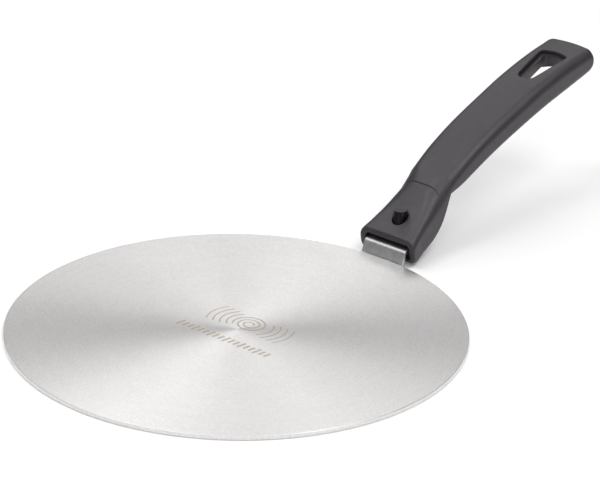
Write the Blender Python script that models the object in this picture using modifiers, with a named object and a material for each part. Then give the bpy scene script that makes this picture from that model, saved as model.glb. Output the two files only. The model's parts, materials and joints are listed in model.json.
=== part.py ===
"""Induction hob adapter disc with a plug-on handle.

A flat steel disc lies on the hob.  A bent strip welded to its rim enters the
nose of a moulded handle, where a leaf latch holds it.  A push button on top of
the nose bends the leaf down and lets the handle be drawn off along +Y.

Frame: +Z up, origin at the centre of the disc's underside, handle along +Y.
Dimensions below are in millimetres and are turned into metres with MM.
"""

import math

import bmesh
import bpy
from mathutils import Matrix, Vector

MM = 0.001

# ---------------------------------------------------------------- dimensions
DISC_R = 110.0            # disc radius
DISC_T = 2.0              # disc thickness
DISC_EDGE = 0.35          # rounding of the disc's edge
DISC_STEPS = 160

TANG_W = 25.4             # strip width
TANG_T = 1.6              # strip thickness
TANG_Z = 7.7              # mid height of the strip's level run
TANG_TIP = 128.0          # where the strip ends inside the nose
RISER_FOOT = (110.25, 1.62)  # mid-line of the riser where it meets the rim
RISER_DEG = 69.0
RISER_CUT = 1.2           # underside of the riser's trimmed lower end
GAP = 0.3                 # running and resting gap between neighbours

NOSE_Y = 113.2            # front face of the handle
CREASE_Y = 140.0          # line across the top where nose and grip meet
NOTCH_Y = 147.4           # finger notch in the underside
END_Y = 265.6             # far end of the handle
END_BULGE = 2.6           # how far the end's middle stands past its corners
END_ROUND = 5.2           # rounding of the end seen from the side
END_CORNER = 3.6          # rounding of its corners seen from above
FRONT_RAKE = 1.9          # how far the front face's lower edge lies back

WINDOW_Y = (119.3, 121.6)   # latch window in the strip
WINDOW_HALF = 4.6
SLOT_HALF = 3.1             # open slot from the window to the strip's tip

BUTTON_Y = 123.3
BUTTON_R = 3.6
BUTTON_TOP = 23.9
COLLAR_R = 4.7
COLLAR_Z = (11.3, 12.75)
BUTTON_TRAVEL = 2.1

LEAF_Z = 10.75            # mid height of the leaf latch
LEAF_T = 0.5
LEAF_HALF = 4.0
LEAF_SCREW_Y = 131.3

COVER_SLOPE = 0.2815      # rise of the nose cover's inner plane per mm of Y
COVER_Z0 = 2.75           # its height at Y = 117
COVER_Y = (118.3, 134.6)
COVER_HALF = 10.6
COVER_SCREW = (7.2, 132.0)

# side profile of the handle: (Y, Z) points of the top and bottom lines
TOP_NOSE = [(113.2, 13.5), (120.0, 17.1), (127.0, 21.5), (133.0, 26.2), (140.0, 31.9)]
TOP_GRIP = [(140.0, 32.25), (143.5, 34.7), (149.0, 37.4), (153.0, 39.35), (163.0, 44.6), (180.0, 51.8),
            (200.0, 58.5), (222.0, 65.15), (245.0, 70.2), (265.6, 73.1)]
BOTTOM_NOSE = [(113.2, 1.6), (118.0, 0.9), (124.0, 2.6), (131.0, 4.9), (137.0, 8.3),
               (141.2, 12.6), (143.9, 18.0), (145.8, 22.8), (147.4, 26.6)]
BOTTOM_GRIP = [(147.4, 26.6), (153.0, 27.9), (158.0, 29.5), (163.0, 31.5), (180.0, 38.2),
               (200.0, 44.75), (222.0, 50.95), (245.0, 56.25), (265.6, 60.9)]
WIDTH = [(113.2, 34.5), (116.0, 33.5), (120.0, 31.5), (127.0, 29.2), (134.0, 27.8),
         (142.0, 26.6), (149.0, 26.6), (163.0, 27.3), (180.0, 27.9), (200.0, 28.4),
         (222.0, 28.8), (245.0, 29.3), (265.6, 29.6)]
ROUND_TOP = [(113.2, 4.6), (121.0, 4.4), (127.0, 5.4), (133.0, 7.4), (140.0, 9.3), (143.5, 8.6),
             (149.0, 5.6), (156.0, 4.6), (265.6, 4.6)]
ROUND_BOTTOM = [(113.2, 3.6), (130.0, 3.8), (147.4, 3.8), (156.0, 4.0), (170.0, 4.2),
                (265.6, 4.2)]
CROWN = 0.45              # rise of the top face's middle over its edges

HOLE_Y = (221.0, 249.4)   # hang hole, near end and far end on the top face
HOLE_HALF = (4.8, 7.9)    # its half width there
HOLE_RECESS = 2.2         # depth of the stepped upper part
HOLE_STEP = 2.2           # width of the step
WEB = 7.1                 # thickness of the grip over its cored underside
CORE_Y = (168.0, 256.5)
WALL = 2.0                # thickness of its side walls there


# ---------------------------------------------------------------- helpers
def clear_scene():
    for ob in list(bpy.data.objects):
        bpy.data.objects.remove(ob, do_unlink=True)
    for mesh in list(bpy.data.meshes):
        bpy.data.meshes.remove(mesh)


def collection(name):
    col = bpy.data.collections.get(name)
    if col is None:
        col = bpy.data.collections.new(name)
        bpy.context.scene.collection.children.link(col)
    return col


def smooth_line(points, y):
    """Height of a smooth, non-overshooting line through (Y, value) points."""
    n = len(points)
    if y <= points[0][0]:
        return points[0][1]
    if y >= points[-1][0]:
        return points[-1][1]
    slope = [(points[i + 1][1] - points[i][1]) / (points[i + 1][0] - points[i][0])
             for i in range(n - 1)]
    tangent = [slope[0]]
    for i in range(1, n - 1):
        a, b = slope[i - 1], slope[i]
        tangent.append(0.0 if a * b <= 0 else 2 * a * b / (a + b))
    tangent.append(slope[-1])
    for i in range(n - 1):
        y0, v0 = points[i]
        y1, v1 = points[i + 1]
        if y0 <= y <= y1:
            h = y1 - y0
            t = (y - y0) / h
            return ((2 * t ** 3 - 3 * t ** 2 + 1) * v0 + (t ** 3 - 2 * t ** 2 + t) * h * tangent[i]
                    + (3 * t ** 2 - 2 * t ** 3) * v1 + (t ** 3 - t ** 2) * h * tangent[i + 1])
    return points[-1][1]


def top_line(y):
    return smooth_line(TOP_NOSE if y < CREASE_Y else TOP_GRIP, y)


def bottom_line(y):
    return smooth_line(BOTTOM_NOSE if y < NOTCH_Y else BOTTOM_GRIP, y)


def material(name, colour, rough, metal):
    mat = bpy.data.materials.get(name) or bpy.data.materials.new(name)
    mat.use_nodes = True
    bsdf = mat.node_tree.nodes["Principled BSDF"]
    bsdf.inputs["Base Color"].default_value = (*colour, 1.0)
    bsdf.inputs["Roughness"].default_value = rough
    bsdf.inputs["Metallic"].default_value = metal
    mat.diffuse_color = (*colour, 1.0)
    return mat


def finish_mesh(bm, name, col, mat=None, angle=35.0):
    bmesh.ops.recalc_face_normals(bm, faces=bm.faces[:])
    mesh = bpy.data.meshes.new(name)
    bm.to_mesh(mesh)
    bm.free()
    mesh.shade_smooth()
    mesh.set_sharp_from_angle(angle=math.radians(angle))
    ob = bpy.data.objects.new(name, mesh)
    if mat:
        mesh.materials.append(mat)
    col.objects.link(ob)
    return ob


def hide(ob):
    ob.hide_render = True
    ob.display_type = "WIRE"
    return ob


def box_cutter(name, lo, hi):
    bm = bmesh.new()
    bmesh.ops.create_cube(bm, size=1.0)
    for v in bm.verts:
        v.co = Vector([((lo[i] + hi[i]) / 2 + v.co[i] * (hi[i] - lo[i])) * MM for i in range(3)])
    return hide(finish_mesh(bm, name, CUT))


def rod(name, base, axis, parts, col, mat=None, segments=32):
    """Round piece along an axis: parts is a list of (distance, radius) mm."""
    axis = Vector(axis).normalized()
    turn = Vector((0, 0, 1)).rotation_difference(axis).to_matrix().to_4x4()
    place = Matrix.Translation(Vector(base) * MM) @ turn
    bm = bmesh.new()
    rings = []
    for dist, rad in parts:
        rings.append([bm.verts.new(place @ Vector((rad * MM * math.cos(2 * math.pi * k / segments),
                                                   rad * MM * math.sin(2 * math.pi * k / segments),
                                                   dist * MM))) for k in range(segments)])
    for a, b in zip(rings, rings[1:]):
        for k in range(segments):
            bm.faces.new((a[k], a[(k + 1) % segments], b[(k + 1) % segments], b[k]))
    bm.faces.new(rings[0][::-1])
    bm.faces.new(rings[-1])
    return finish_mesh(bm, name, col, mat)


def loft(name, rings, col, mat=None, angle=35.0, laced=False):
    """Closed skin through rings of equally many points (mm).

    Laced ends are closed by strips from the top half to the bottom half,
    which follow an end that isn't flat.
    """
    bm = bmesh.new()
    rows = [[bm.verts.new(Vector(p) * MM) for p in ring] for ring in rings]
    n = len(rows[0])
    for a, b in zip(rows, rows[1:]):
        for k in range(n):
            bm.faces.new((a[k], a[(k + 1) % n], b[(k + 1) % n], b[k]))
    for last in (rows[0], rows[-1]):
        if laced:
            top = n // 2 - 1
            for k in range(1, top - 2):
                bm.faces.new((last[k], last[k + 1], last[n - 3 - k], last[n - 2 - k]))
            bm.faces.new((last[n - 1], last[0], last[1], last[n - 3], last[n - 2]))
            bm.faces.new((last[top - 2], last[top - 1], last[top], last[top + 1], last[top + 2]))
        else:
            bm.faces.new(last)
    return finish_mesh(bm, name, col, mat, angle)


def cut(ob, cutter, op="DIFFERENCE"):
    mod = ob.modifiers.new("cut_" + cutter.name, "BOOLEAN")
    mod.operation = op
    mod.object = cutter
    mod.solver = "EXACT"


def rounded_section(y, inset=0.0, side=None, steps=6):
    """Ring of points of the handle's cross-section at Y, drawn in by inset."""
    side = inset if side is None else side
    half = smooth_line(WIDTH, y) / 2 - side
    top = top_line(y) - inset
    low = bottom_line(y) + inset
    rb = max(min(smooth_line(ROUND_BOTTOM, y) - side * 0.6, (top - low) / 2 - 0.15), 0.3)
    rt = max(min(smooth_line(ROUND_TOP, y) - side * 0.6, top - low - rb - 0.3), 0.3)
    pts = []
    for cx, cz, r, start in ((half - rt, top - rt, rt, 0), (-half + rt, top - rt, rt, 90),
                             (-half + rb, low + rb, rb, 180), (half - rb, low + rb, rb, 270)):
        for k in range(steps + 1):
            a = math.radians(start + 90 * k / steps)
            pts.append([cx + r * math.cos(a), cz + r * math.sin(a)])
        nxt = {0: (-half + rt, top), 90: (-half, low + rb), 180: (half - rb, low),
               270: (half, top - rt)}[start]
        last = pts[-1]
        mid = 5 if start in (0, 180) else 1
        for k in range(1, mid + 1):
            t = k / (mid + 1)
            pts.append([last[0] + (nxt[0] - last[0]) * t, last[1] + (nxt[1] - last[1]) * t])
    ring = []
    for x, z in pts:
        u = x / half
        rise = CROWN * (1 - u * u) * max(0.0, (z - low) / (top - low) - 0.5) * 2
        # the end face bulges: the middle reaches END_Y, the corners stop short
        ramp = max(0.0, min(1.0, (y - (END_Y - 14.0)) / 14.0))
        yy = y - END_BULGE * ramp * ramp * min(1.2, (x / 12.0) ** 2)
        # the front face leans back towards its lower edge
        near = max(0.0, 1.0 - (y - NOSE_Y) / 7.0)
        drop = max(0.0, (13.5 - z) / 12.0)
        yy += FRONT_RAKE * near * drop * drop
        ring.append((x, yy, z + rise - 0.5 * CROWN))
    return ring


def plan_outline(y0, y1, h0, h1, r0, r1, bulge, steps=8):
    """Rounded tapering outline in plan: near end y0, far end y1 (mm)."""
    slope = math.atan2(h1 - h0, y1 - y0)
    pts = []
    # far edge, right to left, as a shallow arc between two rounded corners
    for k in range(steps + 1):
        a = math.radians(90.0) * k / steps - slope * (1 - k / steps)
        pts.append((h1 - r1 + r1 * math.cos(a), y1 - bulge - r1 + r1 * math.sin(a)))
    for k in range(1, 8):
        t = k / 8
        x = (h1 - r1) * (1 - 2 * t)
        pts.append((x, y1 - bulge + bulge * (1 - (x / (h1 - r1)) ** 2)))
    for k in range(steps + 1):
        a = math.radians(90.0) + math.radians(90.0) * k / steps + slope * k / steps
        pts.append((-h1 + r1 + r1 * math.cos(a), y1 - bulge - r1 + r1 * math.sin(a)))
    for k in range(steps + 1):
        a = math.radians(180.0) + math.radians(90.0) * k / steps + slope * (1 - k / steps)
        pts.append((-h0 + r0 + r0 * math.cos(a), y0 + r0 + r0 * math.sin(a)))
    for k in range(steps + 1):
        a = math.radians(270.0) + math.radians(90.0) * k / steps - slope * k / steps
        pts.append((h0 - r0 + r0 * math.cos(a), y0 + r0 + r0 * math.sin(a)))
    return pts


# ---------------------------------------------------------------- start
clear_scene()
PARTS = collection("hob_adapter")
CUT = collection("cutters")

STEEL = material("disc_steel", (0.74, 0.73, 0.72), 0.32, 1.0)
STRIP = material("strip_steel", (0.62, 0.62, 0.63), 0.28, 1.0)
WELD = material("weld_steel", (0.50, 0.49, 0.48), 0.45, 1.0)
NYLON = material("handle_black", (0.035, 0.032, 0.036), 0.55, 0.0)
COVERM = material("cover_black", (0.030, 0.028, 0.031), 0.60, 0.0)
BUTTONM = material("button_black", (0.018, 0.018, 0.020), 0.30, 0.0)
SPRINGM = material("spring_steel", (0.55, 0.56, 0.58), 0.25, 1.0)
SCREWM = material("screw_zinc", (0.60, 0.60, 0.58), 0.35, 1.0)


# ---------------------------------------------------------------- disc
def make_disc():
    """Turned profile: outer side runs top to bottom."""
    e = DISC_EDGE
    prof = [(0.0, DISC_T)]
    prof += [(DISC_R * f, DISC_T) for f in (0.45, 0.8)]
    for k in range(5):
        a = math.radians(90 - 90 * k / 4)
        prof.append((DISC_R - e + e * math.cos(a), DISC_T - e + e * math.sin(a)))
    for k in range(5):
        a = math.radians(-90 * k / 4)
        prof.append((DISC_R - e + e * math.cos(a), e + e * math.sin(a)))
    prof += [(DISC_R * f, 0.0) for f in (0.8, 0.45)]
    prof.append((0.0, 0.0))
    mesh = bpy.data.meshes.new("disc")
    mesh.from_pydata([(r * MM, 0.0, z * MM) for r, z in prof],
                     [(i, i + 1) for i in range(len(prof) - 1)], [])
    ob = bpy.data.objects.new("disc", mesh)
    PARTS.objects.link(ob)
    mesh.materials.append(STEEL)
    turn = ob.modifiers.new("turn", "SCREW")
    turn.axis = "Z"
    turn.angle = 2 * math.pi
    turn.steps = DISC_STEPS
    turn.render_steps = DISC_STEPS
    turn.use_merge_vertices = True
    turn.merge_threshold = 0.00001
    turn.use_smooth_shade = True
    return ob


# ---------------------------------------------------------------- strip
def bend_path(points, radii, steps=7):
    """Polyline (Y, Z) with each inner corner turned into an arc."""
    out = [points[0]]
    for i in range(1, len(points) - 1):
        p0, p, p1 = (Vector(points[i - 1]), Vector(points[i]), Vector(points[i + 1]))
        a = (p0 - p).normalized()
        b = (p1 - p).normalized()
        half = math.acos(max(-1, min(1, a.dot(b)))) / 2
        back = radii[i - 1] / math.tan(half)
        centre = p + (a + b).normalized() * (radii[i - 1] / math.sin(half))
        s = p + a * back
        e = p + b * back
        for k in range(steps + 1):
            t = k / steps
            d = (s - centre).normalized().lerp((e - centre).normalized(), t).normalized()
            q = centre + d * radii[i - 1]
            out.append((q.x, q.y))
    out.append(points[-1])
    return out


def bent_strip(name, path, width, thick, mat):
    """Open sheet swept along X, given its thickness by Solidify."""
    bm = bmesh.new()
    verts = [bm.verts.new((-width / 2 * MM, y * MM, z * MM)) for y, z in path]
    edges = [bm.edges.new((a, b)) for a, b in zip(verts, verts[1:])]
    res = bmesh.ops.extrude_edge_only(bm, edges=edges)
    new = [g for g in res["geom"] if isinstance(g, bmesh.types.BMVert)]
    bmesh.ops.translate(bm, verts=new, vec=(width * MM, 0, 0))
    ob = finish_mesh(bm, name, PARTS, mat)
    sol = ob.modifiers.new("thick", "SOLIDIFY")
    sol.thickness = thick * MM
    sol.offset = 0.0
    sol.use_even_offset = True
    return ob


def make_tang():
    fy, fz = RISER_FOOT
    t = math.tan(math.radians(RISER_DEG))
    path = bend_path([(fy - (fz + 1.5) / t, -1.5), (fy + (TANG_Z - fz) / t, TANG_Z),
                      (TANG_TIP, TANG_Z)], [1.8])
    ob = bent_strip("tang_strip", path, TANG_W, TANG_T, STRIP)
    # the strip's foot is notched to clear the rim
    rim = rod("rim_cutter", (0, 0, -5), (0, 0, 1),
              [(0, DISC_R + GAP), (5 + DISC_T + GAP, DISC_R + GAP)], CUT, segments=256)
    cut(ob, hide(rim))
    cut(ob, box_cutter("trim_cutter", (-20, 100, -6), (20, 116, RISER_CUT)))
    cut(ob, box_cutter("window_cutter", (-WINDOW_HALF, WINDOW_Y[0], TANG_Z - 3),
                       (WINDOW_HALF, WINDOW_Y[1], TANG_Z + 3)))
    cut(ob, box_cutter("slot_cutter", (-SLOT_HALF, WINDOW_Y[1] - 0.5, TANG_Z - 3),
                       (SLOT_HALF, TANG_TIP + 2, TANG_Z + 3)))
    return ob


def make_weld(name, x0, x1):
    """Short bead under the strip's lower end, along the rim's curve."""
    data = bpy.data.curves.new(name, "CURVE")
    data.dimensions = "3D"
    data.bevel_depth = 0.38 * MM
    data.bevel_resolution = 3
    data.use_fill_caps = True
    sp = data.splines.new("POLY")
    n = 9
    sp.points.add(n - 1)
    rad = DISC_R + 0.84
    for k in range(n):
        x = x0 + (x1 - x0) * k / (n - 1)
        swell = 1.0 + 0.10 * math.sin(k * 2.1)
        if k in (0, n - 1):
            swell = 0.55
        sp.points[k].co = (x * MM, math.sqrt(rad * rad - x * x) * MM, 0.47 * MM, 1.0)
        sp.points[k].radius = swell
    ob = bpy.data.objects.new(name, data)
    PARTS.objects.link(ob)
    data.materials.append(WELD)
    return ob


# ---------------------------------------------------------------- handle
def handle_stations():
    ys = [(NOSE_Y, 0.6), (NOSE_Y + 0.2, 0.18), (NOSE_Y + 0.6, 0.0)]
    y = NOSE_Y + 3.0
    while y < 137.6:
        ys.append((y, 0.0))
        y += 2.6
    ys += [(v, 0.0) for v in (138.4, CREASE_Y - 0.05, CREASE_Y + 0.35, 141.6, 143.0, 144.4,
                              145.8, NOTCH_Y - 0.05, NOTCH_Y + 0.3, 149.4, 151.6, 154.0)]
    y = 157.0
    while y < 249.0:
        ys.append((y, 0.0))
        y += 3.4
    ys += [(251.5, 0.0), (255.5, 0.0), (258.4, 0.0)]
    for k in range(9):
        a = math.radians(86 * k / 8)
        left = END_ROUND * (1 - math.sin(a))
        side = 0.0
        if left < END_CORNER:
            side = END_CORNER - math.sqrt(END_CORNER ** 2 - (END_CORNER - left) ** 2)
        ys.append((END_Y - left, END_ROUND * (1 - math.cos(a)), side))
    return ys


def handle_outer(name, col, mat=None):
    return loft(name, [rounded_section(*station) for station in handle_stations()], col, mat, 30.0, True)


def tilt_frame(y):
    """Point on the top face at Y, its normal and its uphill direction."""
    dz = (top_line(y + 1) - top_line(y - 1)) / 2
    up = Vector((0, 1, dz)).normalized()
    nrm = Vector((0, -up.z, up.y))
    return Vector((0, y, top_line(y))), nrm, up


def top_prism(name, outline, y_ref, low, high):
    """Outline in plan laid on the top face at y_ref, swept along its normal."""
    origin, nrm, up = tilt_frame(y_ref)
    rings = []
    for d in (low, high):
        rings.append([tuple(origin + up * ((y - y_ref) / up.y) + Vector((x, 0, 0)) + nrm * d)
                      for x, y in outline])
    return hide(loft(name, rings, CUT))


def cover_plane(y):
    return COVER_Z0 + COVER_SLOPE * (y - 117.0)


def cover_block(name, grow, lift, low, col):
    """Block under the inclined cover plane, rounded in plan."""
    y0, y1 = COVER_Y[0] - grow, COVER_Y[1] + grow
    h = COVER_HALF + grow
    out = plan_outline(y0, y1, h, h, 2.0 + grow, 2.0 + grow, 0.0, 5)
    rings = [[(x, y, low) for x, y in out], [(x, y, cover_plane(y) + lift) for x, y in out]]
    return loft(name, rings, col)


def cover_axis():
    up = Vector((0, 1, COVER_SLOPE)).normalized()
    return Vector((0, -up.z, up.y))


def make_handle():
    ob = handle_outer("handle_body", PARTS, NYLON)

    # mouth around the strip, then the close slot it slides in
    mouth = plan_outline(0, 7.6, 13.9, 13.9, 1.6, 2.6, 0.0, 5)
    rings = [[(x, yy, 3.45 + z) for x, z in mouth] for yy in (NOSE_Y - 5, 116.4)]
    cut(ob, hide(loft("mouth_cutter", rings, CUT)))
    cut(ob, box_cutter("tang_slot_cutter",
                       (-TANG_W / 2 - GAP, 110, TANG_Z - TANG_T / 2 - GAP),
                       (TANG_W / 2 + GAP, TANG_TIP + 0.4, TANG_Z + TANG_T / 2 + GAP)))
    # room for the button's collar and the leaf, open downwards
    cut(ob, box_cutter("pocket_cutter", (-8.2, 118.0, 0.0), (8.2, 128.9, 13.0)))
    cut(ob, box_cutter("leaf_seat_cutter", (-4.5, 128.0, 0.0), (4.5, 134.0, LEAF_Z + LEAF_T / 2 + GAP)))
    cut(ob, hide(cover_block("cover_recess_cutter", GAP, GAP, -6.0, CUT)))
    # button bore, screw bores
    cut(ob, hide(rod("button_bore_cutter", (0, BUTTON_Y, 12.0), (0, 0, 1),
                     [(0, BUTTON_R + 0.25), (20, BUTTON_R + 0.25)], CUT, segments=48)))
    cut(ob, hide(rod("leaf_screw_cutter", (0, LEAF_SCREW_Y, 9.0), (0, 0, 1),
                     [(0, 1.65), (9.2, 1.65)], CUT, segments=24)))
    n = cover_axis()
    for sx, tag in ((-1, "left"), (1, "right")):
        base = Vector((sx * COVER_SCREW[0], COVER_SCREW[1], cover_plane(COVER_SCREW[1])))
        cut(ob, hide(rod("cover_screw_cutter_" + tag, base - n * 1.0, n,
                         [(0, 1.65), (9.0, 1.65)], CUT, segments=24)))
    # hang hole: stepped recess, then the through hole
    y0, y1 = HOLE_Y
    h0, h1 = HOLE_HALF
    s = HOLE_STEP
    upper = plan_outline(y0, y1, h0, h1, 4.1, 2.2, 1.0)
    lower = plan_outline(y0 + s, y1 - s * 0.5, h0 - s, h1 - s, 2.3, 1.5, 0.7)
    cut(ob, top_prism("hang_recess_cutter", upper, 235.0, -HOLE_RECESS, 8.0))
    cut(ob, top_prism("hang_hole_cutter", lower, 235.0, -26.0, 6.0))
    # cored underside of the grip
    rings = []
    n_st = 26
    for k in range(n_st + 1):
        y = CORE_Y[0] + (CORE_Y[1] - CORE_Y[0]) * k / n_st
        dz = (top_line(y + 1) - top_line(y - 1)) / 2
        end = min(y - CORE_Y[0], CORE_Y[1] - y)
        half = smooth_line(WIDTH, y) / 2 - WALL - max(0.0, 6.0 - end) ** 2 / 36.0 * 5.0
        roof = top_line(y) - WEB * math.sqrt(1 + dz * dz) - max(0.0, 4.0 - end) ** 2 / 16.0 * 2.5
        low = bottom_line(y) - 6.0
        rings.append([(half, y, roof - 2.0), (half - 0.7, y, roof - 0.6), (half - 2.0, y, roof),
                      (-half + 2.0, y, roof), (-half + 0.7, y, roof - 0.6), (-half, y, roof - 2.0),
                      (-half - 0.5, y, low), (half + 0.5, y, low)])
    cut(ob, hide(loft("core_cutter", rings, CUT)))
    return ob


def make_cover():
    """Flush plate that closes the nose: the outer skin's own lower slice."""
    ob = handle_outer("nose_cover", PARTS, COVERM)
    cut(ob, hide(cover_block("cover_keep", 0.0, 0.0, -6.0, CUT)), "INTERSECT")
    n = cover_axis()
    for sx, tag in ((-1, "left"), (1, "right")):
        base = Vector((sx * COVER_SCREW[0], COVER_SCREW[1], cover_plane(COVER_SCREW[1])))
        cut(ob, hide(rod("cover_hole_" + tag, base - n * 6.0, n,
                         [(0, 2.75), (5.2, 2.75), (5.2001, 1.65), (8.0, 1.65)], CUT, segments=32)))
    return ob


def make_screw(name, base, axis, head_r, head_h, shank_r, length, mat):
    """Pan head below the seat plane, shank above it, cross recess in the head."""
    ob = rod(name, base, axis,
             [(-head_h, head_r * 0.72), (-head_h * 0.8, head_r * 0.92), (-head_h * 0.35, head_r),
              (0.0, head_r), (0.0001, shank_r), (length - 0.8, shank_r), (length, shank_r * 0.45)],
             PARTS, mat, 28)
    ax = Vector(axis).normalized()
    side = Vector((1, 0, 0))
    other = ax.cross(side).normalized()
    for k, (a, b) in enumerate(((side, other), (other, side))):
        bm = bmesh.new()
        bmesh.ops.create_cube(bm, size=1.0)
        mid = Vector(base) - ax * (head_h + 0.4)
        for v in bm.verts:
            v.co = (mid + a * (v.co.x * head_r * 1.05) + b * (v.co.y * 0.55) + ax * (v.co.z * 1.9)) * MM
        cut(ob, hide(finish_mesh(bm, "%s_cross_%d" % (name, k), CUT)))
    return ob


def make_leaf():
    path = bend_path([(120.45, 6.6), (120.45, LEAF_Z), (133.6, LEAF_Z)], [0.7], 5)
    ob = bent_strip("latch_leaf", path, LEAF_HALF * 2, LEAF_T, SPRINGM)
    # neck between the leaf and the catch that stands in the strip's window
    for sx, tag in ((-1, "left"), (1, "right")):
        lo, hi = sorted((sx * 2.5, sx * 6.0))
        cut(ob, box_cutter("neck_cutter_" + tag, (lo, 119.0, 8.8), (hi, 121.2, 9.9)))
    cut(ob, hide(rod("leaf_hole_cutter", (0, LEAF_SCREW_Y, LEAF_Z - 2), (0, 0, 1),
                     [(0, 1.6), (4, 1.6)], CUT, segments=24)))
    return ob


def make_button():
    r = BUTTON_R
    ob = rod("lock_button", (0, BUTTON_Y, 0), (0, 0, 1),
             [(COLLAR_Z[0], COLLAR_R - 0.25), (COLLAR_Z[0] + 0.25, COLLAR_R), (COLLAR_Z[1], COLLAR_R),
              (COLLAR_Z[1] + 0.0001, r), (BUTTON_TOP - 0.7, r), (BUTTON_TOP - 0.42, r - 0.06),
              (BUTTON_TOP - 0.18, r - 0.22), (BUTTON_TOP - 0.04, r - 0.45), (BUTTON_TOP, r - 0.75)],
             PARTS, BUTTONM, 48)
    return ob


make_disc()
make_tang()
make_weld("rim_weld_left", -11.2, -3.4)
make_weld("rim_weld_right", 3.4, 11.2)
make_handle()
make_cover()
AX = cover_axis()
for SX, TAG in ((-1, "left"), (1, "right")):
    SEAT = Vector((SX * COVER_SCREW[0], COVER_SCREW[1], cover_plane(COVER_SCREW[1]))) - AX * (0.8 + GAP)
    make_screw("cover_screw_" + TAG, SEAT, AX, 2.4, 1.1, 1.3, 7.2, SCREWM)
make_leaf()
make_screw("leaf_screw", (0, LEAF_SCREW_Y, LEAF_Z - LEAF_T / 2 - GAP), (0, 0, 1), 2.4, 1.1, 1.3, 6.8, SCREWM)
make_button()
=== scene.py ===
import json
import math

import bmesh
import bpy
from mathutils import Matrix, Vector

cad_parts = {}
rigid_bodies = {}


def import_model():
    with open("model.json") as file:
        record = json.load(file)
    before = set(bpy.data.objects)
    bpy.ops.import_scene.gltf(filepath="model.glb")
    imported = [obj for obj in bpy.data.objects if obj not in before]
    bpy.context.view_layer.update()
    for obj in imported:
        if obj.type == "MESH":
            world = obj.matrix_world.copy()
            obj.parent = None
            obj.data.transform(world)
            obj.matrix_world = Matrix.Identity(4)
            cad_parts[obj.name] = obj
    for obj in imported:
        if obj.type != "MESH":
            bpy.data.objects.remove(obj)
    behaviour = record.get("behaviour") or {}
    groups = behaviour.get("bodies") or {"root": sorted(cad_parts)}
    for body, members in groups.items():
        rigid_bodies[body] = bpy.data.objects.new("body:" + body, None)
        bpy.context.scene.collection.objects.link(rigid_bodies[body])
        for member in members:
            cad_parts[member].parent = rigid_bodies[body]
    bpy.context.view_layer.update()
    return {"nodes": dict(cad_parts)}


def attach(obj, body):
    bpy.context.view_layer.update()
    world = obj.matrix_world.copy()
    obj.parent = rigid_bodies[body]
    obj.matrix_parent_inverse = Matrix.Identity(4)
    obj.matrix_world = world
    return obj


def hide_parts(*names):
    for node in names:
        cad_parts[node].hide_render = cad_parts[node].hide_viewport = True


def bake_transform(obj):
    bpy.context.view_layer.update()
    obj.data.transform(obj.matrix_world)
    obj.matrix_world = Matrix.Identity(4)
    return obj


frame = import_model()
MM = 0.001

# the CAD's own dimensions (mm), which the finer pieces repeat
DISC_R = 110.0
DISC_T = 2.0
TANG_W, TANG_T, TANG_Z, TANG_TIP = 25.4, 1.6, 7.7, 128.0
RISER_FOOT, RISER_DEG, RISER_CUT = (110.25, 1.62), 69.0, 1.2
GAP = 0.3
NOSE_Y, CREASE_Y, NOTCH_Y, END_Y = 113.2, 140.0, 147.4, 265.6
END_BULGE, END_ROUND, END_CORNER, FRONT_RAKE = 1.7, 5.2, 2.9, 1.9
WINDOW_Y, WINDOW_HALF, SLOT_HALF = (119.3, 121.6), 4.6, 3.1
BUTTON_Y, BUTTON_R, BUTTON_TOP = 123.3, 3.6, 23.9
COLLAR_R, COLLAR_Z = 4.7, (11.3, 12.75)
LEAF_Z, LEAF_T, LEAF_HALF, LEAF_SCREW_Y = 10.75, 0.5, 4.0, 131.3
COVER_SLOPE, COVER_Z0, COVER_Y, COVER_HALF = 0.2815, 2.75, (118.3, 134.6), 10.6
COVER_SCREW = (7.2, 132.0)
TOP_NOSE = [(113.2, 13.5), (120.0, 17.1), (127.0, 21.5), (133.0, 26.2), (140.0, 31.9)]
TOP_GRIP = [(140.0, 32.25), (143.5, 34.7), (149.0, 37.4), (153.0, 39.35), (163.0, 44.6), (180.0, 51.8),
            (200.0, 58.5), (222.0, 65.15), (245.0, 70.0), (265.6, 72.7)]
BOTTOM_NOSE = [(113.2, 1.6), (118.0, 0.9), (124.0, 2.6), (131.0, 4.9), (137.0, 8.3),
               (141.2, 12.6), (143.9, 18.0), (145.8, 22.8), (147.4, 26.6)]
BOTTOM_GRIP = [(147.4, 26.6), (153.0, 27.9), (158.0, 29.5), (163.0, 31.5), (180.0, 38.2),
               (200.0, 44.75), (222.0, 50.95), (245.0, 56.25), (265.6, 60.9)]
WIDTH = [(113.2, 34.5), (116.0, 33.5), (120.0, 31.5), (127.0, 29.2), (134.0, 27.8),
         (142.0, 26.6), (149.0, 26.6), (163.0, 27.3), (180.0, 27.9), (200.0, 28.4),
         (222.0, 28.8), (245.0, 29.3), (265.6, 29.6)]
ROUND_TOP = [(113.2, 4.6), (121.0, 4.4), (127.0, 5.4), (133.0, 7.4), (140.0, 9.3), (143.5, 8.6),
             (149.0, 5.6), (156.0, 4.6), (265.6, 4.6)]
ROUND_BOTTOM = [(113.2, 3.6), (130.0, 3.8), (147.4, 3.8), (156.0, 4.0), (170.0, 4.2),
                (265.6, 4.2)]
CROWN = 0.45
HOLE_Y, HOLE_HALF, HOLE_RECESS, HOLE_STEP = (221.0, 249.4), (4.8, 7.9), 2.2, 2.2
WEB, CORE_Y, WALL = 7.1, (168.0, 256.5), 2.0

SCENE = bpy.context.scene
WORK = bpy.data.collections.new("work")
SCENE.collection.children.link(WORK)


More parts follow.
